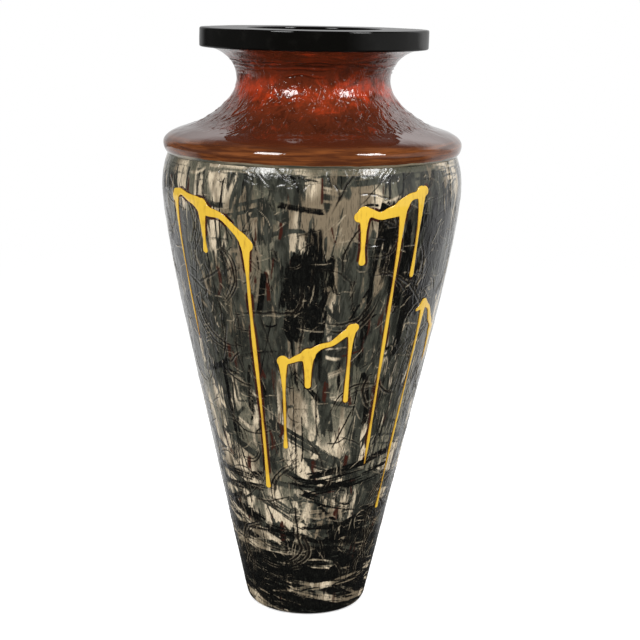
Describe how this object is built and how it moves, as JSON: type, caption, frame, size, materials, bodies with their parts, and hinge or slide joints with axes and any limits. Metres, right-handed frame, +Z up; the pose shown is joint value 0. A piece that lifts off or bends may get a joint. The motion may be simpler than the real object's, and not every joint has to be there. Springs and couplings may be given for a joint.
{
  "type": "floor vase",
  "caption": "Tall tapering stoneware floor vase with a rolled shoulder, a waisted neck and a broad flat rim.",
  "frame": {"origin": "centre of the foot, at floor level", "axes": "+Z up along the axis of turning; the front is -Y"},
  "size_m": [0.456, 0.456, 0.9],
  "materials": {
    "foot": "dark glazed stoneware with a bare ground foot ring",
    "body": "tan ground under charcoal and grey-green brushwork, with raised yellow glaze runs and a gloss clear coat",
    "roll": "gloss brown glaze",
    "neck": "gloss red-orange glaze that darkens to red-brown at its sides",
    "rim": "gloss black glaze"
  },
  "bodies": {
    "root": {"base_slab": "foot", "foot_wall": "body", "lower_wall": "body", "middle_wall": "body", "belly_wall": "body", "shoulder_ring": "roll", "neck": "neck", "rim": "rim"}
  },
  "joints": []
}
